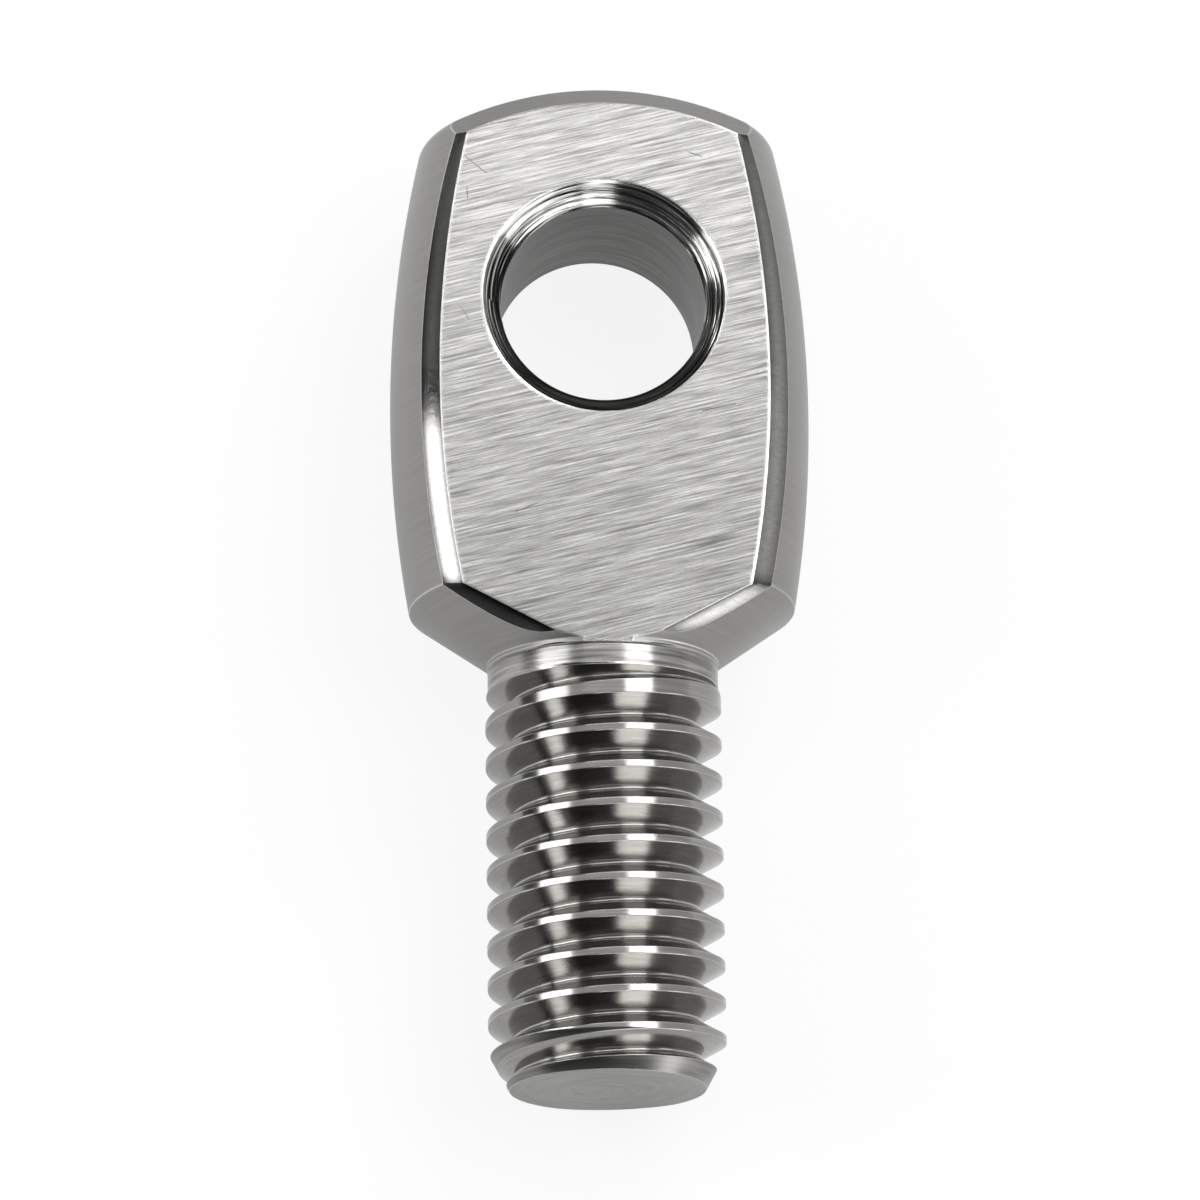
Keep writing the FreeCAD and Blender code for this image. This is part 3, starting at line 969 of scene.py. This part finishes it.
@dataclass(frozen=True, kw_only=True)
class BrushedFinish(SteelFinish):
    """Flat ground along one direction, with strokes that rise a little to the right.

    Along and across are the scales per metre of the finer of two layers of strokes, and coarse is
    the coarser one's share of them.
    """

    stroke_angle: float = 14.0
    along: float = 520.0
    across: float = 15000.0
    coarse: float = 0.5
    coarse_share: float = 0.35
    hairlines: tuple[Hairline, ...] = ()

    def pattern(self, graph: Graph, place: Socket, marks: bpy.types.NodeTree) -> Pattern:
        """Add the nodes of the strokes and scratches, with the turning marks' smudges."""
        angle = -math.radians(self.stroke_angle)
        turned = graph.add("ShaderNodeMapping", {"Vector": place, "Rotation": (0, 0, angle)})
        layers = []
        for share, detail in ((1.0, 5.0), (self.coarse, 3.0)):
            stretched = graph.add("ShaderNodeMapping", {
                "Vector": turned.outputs[0],
                "Scale": (self.along * share, self.across * share, self.along),
            })
            noise = graph.add("ShaderNodeTexNoise", {
                "Vector": stretched.outputs[0], "Scale": 1.0, "Detail": detail, "Roughness": 0.65,
            })
            layers.append(noise.outputs["Fac"])
        strokes = graph.add("ShaderNodeMix", {
            "Factor": self.coarse_share, "A": layers[0], "B": layers[1],
        }, data_type="FLOAT")
        smudges = graph.add(
            "ShaderNodeGroup", {"Vector": place, "Patches": self.patches}, node_tree=marks
        )
        scratched = self.scratch(graph, place, strokes.outputs["Result"])
        return scratched, smudges.outputs["Smudge"]

    def scratch(self, graph: Graph, place: Socket, strokes: Socket) -> Socket:
        """Take the scratches away from the value of the strokes.

        Args:
            graph: the material's nodes.
            place: Object coordinates.
            strokes: value of the brushing.

        Returns:
            The value with dark scratches in it.
        """
        group = hairline_group()
        value = strokes
        for line in self.hairlines:
            mark = graph.add("ShaderNodeGroup", {
                "Vector": place, "Width": line.width * MM,
                "Start": (line.start[0] * MM, line.start[1] * MM, 0),
                "Finish": (line.finish[0] * MM, line.finish[1] * MM, 0),
            }, node_tree=group)
            lower = graph.add(
                "ShaderNodeMath", {0: value, 1: mark.outputs["Mask"]}, operation="SUBTRACT"
            )
            value = lower.outputs[0]
        return value


# Each finish's rim is a tone painted on its rounded edges as a highlight; the polished bevel's
# near-black rim is a painted dark reflection.
FINISHES: dict[Zone, SteelFinish] = {
    Zone.TURNED: TurnedFinish(
        name="satin_turned_steel", dark=(0.23, 0.226, 0.219), light=(0.27, 0.265, 0.257),
        smooth=0.32, rough=0.42, rings=9000.0, relief=0.04, edge=0.08, rim=0.6,
    ),
    Zone.BRUSHED: BrushedFinish(
        name="brushed_flat", dark=(0.13, 0.128, 0.124), light=(0.44, 0.435, 0.425),
        smooth=0.2, rough=0.3, relief=0.4, edge=0.2, rim=0.9, spread=0.13,
        hairlines=(
            Hairline((-4.6, 4.95), (-4.2, 4.6)),
            Hairline((-4.2, 4.6), (-3.86, 4.33)),
            Hairline((-4.52, 3.85), (-4.5, 3.45), 0.015),
            Hairline((-4.75, -0.35), (-4.5, -0.75), 0.015),
            Hairline((2.9, 5.1), (3.3, 4.95)),
            Hairline((3.2, -3.9), (4.3, -3.65), 0.018),
            Hairline((-3.0, -7.4), (-2.3, -7.1), 0.015),
        ),
    ),
    Zone.POLISHED: TurnedFinish(
        name="polished_bevel", dark=(0.36, 0.355, 0.345), light=(0.42, 0.415, 0.405),
        smooth=0.05, rough=0.12, rings=9000.0, relief=0.02, edge=0.8, rim=0.03, edge_sheen_reach=0.006,
    ),
    Zone.COUNTERSINK: TurnedFinish(
        name="turned_countersink", dark=(0.14, 0.138, 0.134), light=(0.75, 0.745, 0.73),
        smooth=0.1, rough=0.22, axis=Axis.BORE, rings=6500.0, relief=1.0, rim=0.85,
        spread=0.12, ridge=0.028,
    ),
    # The bore's low tones are painted shade: they stand in for the shadowed floor that the wall
    # inside the hole reflects.
    Zone.BORE: TurnedFinish(
        name="bored_wall", dark=(0.1, 0.098, 0.095), light=(0.2, 0.197, 0.191),
        smooth=0.26, rough=0.4, axis=Axis.BORE, rings=4500.0, relief=0.1, spread=0.14,
    ),
    Zone.THREAD: TurnedFinish(
        name="cut_thread", dark=(0.24, 0.235, 0.226), light=(0.31, 0.304, 0.294),
        smooth=0.13, rough=0.19, rings=16000.0, relief=0.03, edge=0.03,
    ),
    Zone.COLLAR: TurnedFinish(
        name="scuffed_collar", dark=(0.17, 0.167, 0.161), light=(0.38, 0.373, 0.362),
        smooth=0.14, rough=0.28, rings=5000.0, relief=0.15, spread=0.14,
    ),
    Zone.END: TurnedFinish(
        name="faced_end", dark=(0.15, 0.147, 0.142), light=(0.25, 0.246, 0.239),
        smooth=0.25, rough=0.4, rings=4000.0, relief=0.2, spread=0.14,
    ),
}


# Studio


@dataclass(frozen=True)
class Softbox:
    """Rectangular lamp named by where it stands, seen from the part.

    Turn is its angle round the shank's axis from straight above towards +X, and lean its
    angle from there towards the eye's end; both, and its two spans, are in degrees.
    """

    name: str
    turn: float
    lean: float
    turn_span: float
    lean_span: float
    watts_per_area: float
    distance: float = 0.45
    target: tuple[float, float, float] = (0.0, -0.009, 0.0)

    def light(self) -> None:
        """Hang the lamp and turn it to the part."""
        turn, lean = math.radians(self.turn), math.radians(self.lean)
        way = Vector((
            math.sin(turn) * math.cos(lean), math.sin(lean), math.cos(turn) * math.cos(lean)
        ))
        width = 2 * self.distance * math.tan(math.radians(self.turn_span / 2)) * math.cos(lean)
        height = 2 * self.distance * math.tan(math.radians(self.lean_span / 2))
        data = bpy.data.lights.new(self.name, "AREA")
        data.shape = "RECTANGLE"
        data.size, data.size_y = width, height
        data.energy = self.watts_per_area * width * height
        lamp = bpy.data.objects.new(self.name, data)
        bpy.context.scene.collection.objects.link(lamp)
        lamp.location = Vector(self.target) + way * self.distance
        across = Vector((0, 1, 0)).cross(way).normalized()
        upright = way.cross(across)
        # the columns are the lamp's own X, Y and Z axes, and it shines along -Z
        lamp.rotation_euler = Matrix((across, upright, way)).transposed().to_euler()
        lamp.visible_camera = False


@dataclass(frozen=True)
class PhotoCamera:
    """Camera at the photograph's viewing angle, in the CAD's own frame and in millimetres."""

    lean: float = 15.7
    turn: float = 3.3
    roll: float = 0.75
    distance: float = 270.0
    aim_drop: float = 9.45
    pixels_per_mm: float = 30.07
    centre_px: Spot = (601.7, 603.0)
    frame_px: float = 1200.0
    sensor_mm: float = 36.0

    def place(self) -> None:
        """Add the camera, aim it and make it the scene's camera."""
        lean, turn, roll = (math.radians(a) for a in (self.lean, self.turn, self.roll))
        back = Vector((
            -math.sin(turn) * math.cos(lean), -math.sin(lean), math.cos(turn) * math.cos(lean)
        ))
        upright = (Vector((0, 1, 0)) - back * back.y).normalized()
        across = upright.cross(back)
        right = across * math.cos(roll) - upright * math.sin(roll)
        above = upright * math.cos(roll) + across * math.sin(roll)
        data = bpy.data.cameras.new("photo_camera")
        data.sensor_width = self.sensor_mm
        data.lens = self.pixels_per_mm * self.distance / self.frame_px * self.sensor_mm
        data.shift_x = (self.frame_px / 2 - self.centre_px[0]) / self.frame_px
        data.shift_y = (self.centre_px[1] - self.frame_px / 2) / self.frame_px
        data.clip_start = 0.01
        camera = bpy.data.objects.new("photo_camera", data)
        bpy.context.scene.collection.objects.link(camera)
        matrix = Matrix((right, above, back)).transposed().to_4x4()
        matrix.translation = (Vector((0, -self.aim_drop, 0)) + back * self.distance) * MM
        camera.matrix_world = matrix
        bpy.context.scene.camera = camera


@dataclass(frozen=True)
class Studio:
    """Pale floor, soft world light and the lamps."""

    floor_size: float = 4.0
    floor_glow: float = 0.88
    mirrored_glow: float = 0.48
    floor_colour: Colour = (0.8, 0.8, 0.8)
    world_low: float = 0.1
    world_high: float = 0.04
    world_glow: float = 0.85
    boxes: tuple[Softbox, ...] = field(default=(
        Softbox("front_box", -9, 6, 54, 24, 2.5),
        Softbox("top_box", -2, 26, 40, 13, 13.0),
        Softbox("left_low_box", -53, 4, 32, 23, 18.0),
        Softbox("left_dim_box", -48, 24, 22, 12, 0.8),
        Softbox("left_high_box", -67, 35, 17, 16, 29.0),
        Softbox("left_edge_card", -82, -6, 14, 26, 9.0),
        Softbox("right_low_box", 32.5, 5, 27, 25, 18.0),
        Softbox("right_high_box", 34, 42, 40, 16, 30.0),
        Softbox("right_dim_box", 70, 16, 44, 60, 2.2),
        Softbox("foot_card", 78, -46, 28, 64, 11.5),
        Softbox("foot_high_card", 18, -71, 56, 14, 13.0),
    ))

    def floor(self, height: float) -> None:
        """Lay the floor, white to the camera, with the part's soft shadow on it.

        Args:
            height: the floor's height in metres.
        """
        deselect()
        bpy.ops.mesh.primitive_plane_add(size=self.floor_size, location=(0, 0, 0))
        floor = bpy.context.object
        floor.name = "floor"
        bpy.ops.object.mode_set(mode="EDIT")
        bpy.ops.mesh.select_all(action="SELECT")
        bpy.ops.transform.translate(value=(0, 0, height))
        bpy.ops.object.mode_set(mode="OBJECT")
        material = bpy.data.materials.new("pale_floor")
        material.use_nodes = True
        graph = Graph(material.node_tree)
        nodes = material.node_tree.nodes
        nodes.remove(nodes["Principled BSDF"])
        paint = graph.add("ShaderNodeBsdfDiffuse", {"Color": (*self.floor_colour, 1)})
        glow = graph.add("ShaderNodeEmission")
        path = graph.add("ShaderNodeLightPath")
        share: Source = 0.0
        for ray, glow_share in (
            ("Is Camera Ray", self.floor_glow),
            ("Is Glossy Ray", self.mirrored_glow),
            ("Is Transmission Ray", self.mirrored_glow),
        ):
            seen = graph.add(
                "ShaderNodeMath", {0: path.outputs[ray], 1: glow_share, 2: share},
                operation="MULTIPLY_ADD",
            )
            share = seen.outputs[0]
        both = graph.add("ShaderNodeMixShader", {0: share, 1: paint.outputs[0], 2: glow.outputs[0]})
        graph.feed(nodes["Material Output"], {"Surface": both.outputs[0]})
        floor.data.materials.append(material)

    def world(self) -> None:
        """Light the room evenly, paler near the horizon than overhead and pale to the camera."""
        world = bpy.data.worlds.new("studio")
        bpy.context.scene.world = world
        world.use_nodes = True
        graph = Graph(world.node_tree)
        place = graph.add("ShaderNodeTexCoord").outputs["Generated"]
        parts = graph.add("ShaderNodeSeparateXYZ", {0: place})
        fade = graph.add("ShaderNodeMapRange", {
            "Value": parts.outputs["Z"], "From Min": 0.0, "From Max": 0.2,
            "To Min": self.world_low, "To Max": self.world_high,
        }, interpolation_type="SMOOTHSTEP")
        path = graph.add("ShaderNodeLightPath")
        seen = graph.add("ShaderNodeMath", {
            0: path.outputs["Is Camera Ray"], 1: self.world_glow, 2: fade.outputs[0],
        }, operation="MULTIPLY_ADD")
        graph.feed(world.node_tree.nodes["Background"], {
            "Color": (1, 1, 1, 1), "Strength": seen.outputs[0],
        })

    def build(self, floor_height: float) -> None:
        """Build the floor, the world and the lamps.

        Args:
            floor_height: the floor's height in metres.
        """
        self.floor(floor_height)
        self.world()
        for box in self.boxes:
            box.light()
        bpy.context.scene.view_settings.view_transform = "Standard"


# The whole


def to_metres(obj: bpy.types.Object) -> None:
    """Bring a mesh from millimetres to metres, about the origin.

    Args:
        obj: the mesh object.
    """
    activate(obj)
    bpy.ops.object.mode_set(mode="EDIT")
    bpy.ops.mesh.select_all(action="SELECT")
    bpy.ops.transform.resize(value=(MM, MM, MM), center_override=(0, 0, 0))
    bpy.ops.object.mode_set(mode="OBJECT")


def eye_terminal(head: Head, shank: Shank) -> bpy.types.Object:
    """Build the steel piece and dress it zone by zone.

    Args:
        head: its upper part.
        shank: its lower part.

    Returns:
        The piece in metres, in object mode.
    """
    steel = head.build()
    LOG.info("head: %d faces", len(steel.data.polygons))
    lower = shank.build()
    LOG.info("shank: %d faces", len(lower.data.polygons))
    activate(steel)
    lower.select_set(True)
    bpy.ops.object.join()
    steel.name = "eye_terminal_steel"
    marks = marks_group()
    steel.data.materials.clear()
    for zone in Zone:
        steel.data.materials.append(FINISHES[zone].material(marks))
    zoning = Zoning(head, shank)
    for face in steel.data.polygons:
        face.material_index = zoning.of(face.center, face.normal).value
    to_metres(steel)
    bpy.ops.object.shade_smooth_by_angle(angle=SMOOTH_ANGLE)
    bpy.ops.object.mode_set(mode="EDIT")
    select_where(
        steel, "edges",
        lambda e: len({face.material_index for face in e.link_faces}) > 1,
    )
    bpy.ops.mesh.mark_sharp()
    bpy.ops.object.mode_set(mode="OBJECT")
    return steel


def main() -> None:
    """Build the part, the studio and the camera."""
    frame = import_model()
    low, high = (Vector(corner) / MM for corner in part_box("eye_terminal"))
    mounts = {mount["name"]: mount for mount in frame["record"]["mounts"]}
    half = mounts["upper_flat"]["pos_m"][2] / MM
    head = Head(crown_height=high.y, width=round(high.x - low.x, 1), thickness=2 * half)
    shank = Shank(end_drop=-low.y)
    steel = eye_terminal(head, shank)
    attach(steel, "root")
    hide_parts("eye_terminal")
    LOG.info("eye_terminal_steel: %d faces", len(steel.data.polygons))
    Studio().build(low.z * MM)
    PhotoCamera().place()


if __name__ == "__main__":
    main()
